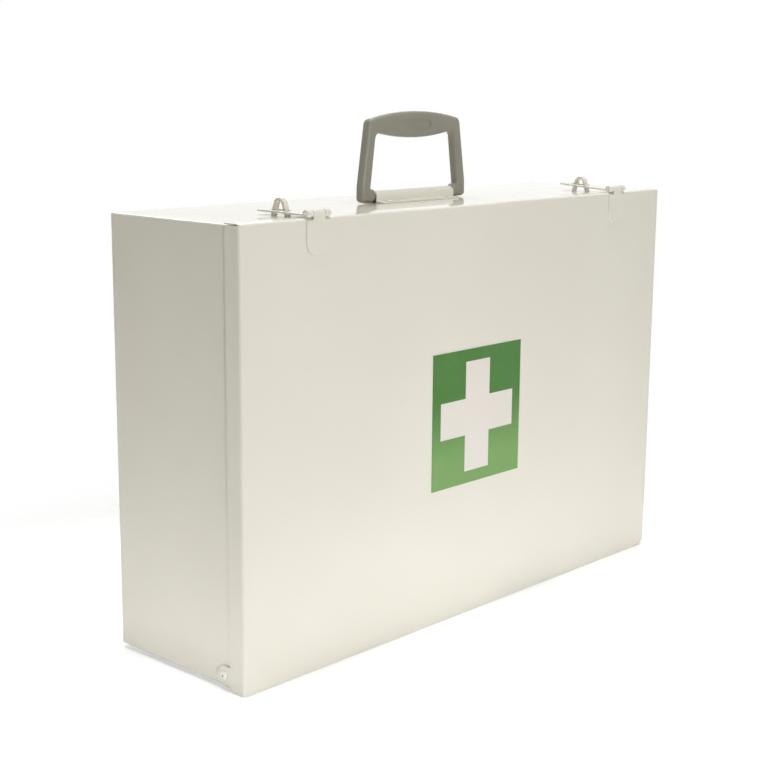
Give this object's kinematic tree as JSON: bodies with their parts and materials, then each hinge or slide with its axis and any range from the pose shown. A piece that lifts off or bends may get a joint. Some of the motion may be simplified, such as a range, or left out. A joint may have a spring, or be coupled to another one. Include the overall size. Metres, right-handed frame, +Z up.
{
  "type": "metal first aid box",
  "caption": "Upright painted sheet-steel first aid box with a drop-down front lid, slotted hasps over padlock staples, a folding carry handle and a green sign with a white cross.",
  "frame": {"origin": "centre of the box's bounding rectangle, on the plane that the rubber feet stand on", "axes": "+X along the width, to the right seen from the front; +Y from the lid to the back; +Z up"},
  "size_m": [0.4638, 0.129, 0.369],
  "materials": {
    "white_enamel": "glossy powder coat",
    "zinc_steel": "zinc plated",
    "grey_plastic": "moulded, satin",
    "black_rubber": "matte",
    "green_vinyl": "glossy printed film",
    "white_vinyl": "glossy printed film"
  },
  "bodies": {
    "case": {"body_wrapper": "white_enamel", "back_panel": "white_enamel", "hinge_rivet_left": "zinc_steel", "hinge_rivet_right": "zinc_steel", "hinge_washer_left": "zinc_steel", "hinge_washer_right": "zinc_steel", "handle_bracket": "white_enamel", "bracket_rivet_1": "white_enamel", "bracket_rivet_2": "white_enamel", "bracket_rivet_3": "white_enamel", "bracket_rivet_4": "white_enamel", "handle_backing_plate": "zinc_steel", "staple_left": "white_enamel", "staple_right": "white_enamel", "staple_backing_left": "zinc_steel", "staple_backing_right": "zinc_steel", "foot_front_left": "black_rubber", "foot_front_right": "black_rubber", "foot_rear_left": "black_rubber", "foot_rear_right": "black_rubber"},
    "lid": {"lid_panel": "white_enamel", "hasp_plate_left": "white_enamel", "hasp_plate_right": "white_enamel", "hasp_pin_left": "zinc_steel", "hasp_pin_right": "zinc_steel", "sign_green": "green_vinyl", "sign_cross": "white_vinyl"},
    "hasp_left": {"hasp_strap_left": "white_enamel"},
    "hasp_right": {"hasp_strap_right": "white_enamel"},
    "handle": {"carry_handle": "grey_plastic"}
  },
  "joints": [
    {"name": "lid_hinge", "type": "hinge", "parent": "case", "child": "lid", "pos_m": [0, -0.04405, 0.0102], "axis": [1, 0, 0], "range_deg": [0, 120]},
    {"name": "hasp_left_hinge", "type": "hinge", "parent": "lid", "child": "hasp_left", "pos_m": [-0.1629, -0.06195, 0.3078], "axis": [1, 0, 0], "range_deg": [0, 227]},
    {"name": "hasp_right_hinge", "type": "hinge", "parent": "lid", "child": "hasp_right", "pos_m": [0.1702, -0.06195, 0.3078], "axis": [1, 0, 0], "range_deg": [-3, 224]},
    {"name": "handle_fold", "type": "hinge", "parent": "case", "child": "handle", "pos_m": [0, 0.00305, 0.3085], "axis": [1, 0, 0], "range_deg": [-88, 88]}
  ]
}
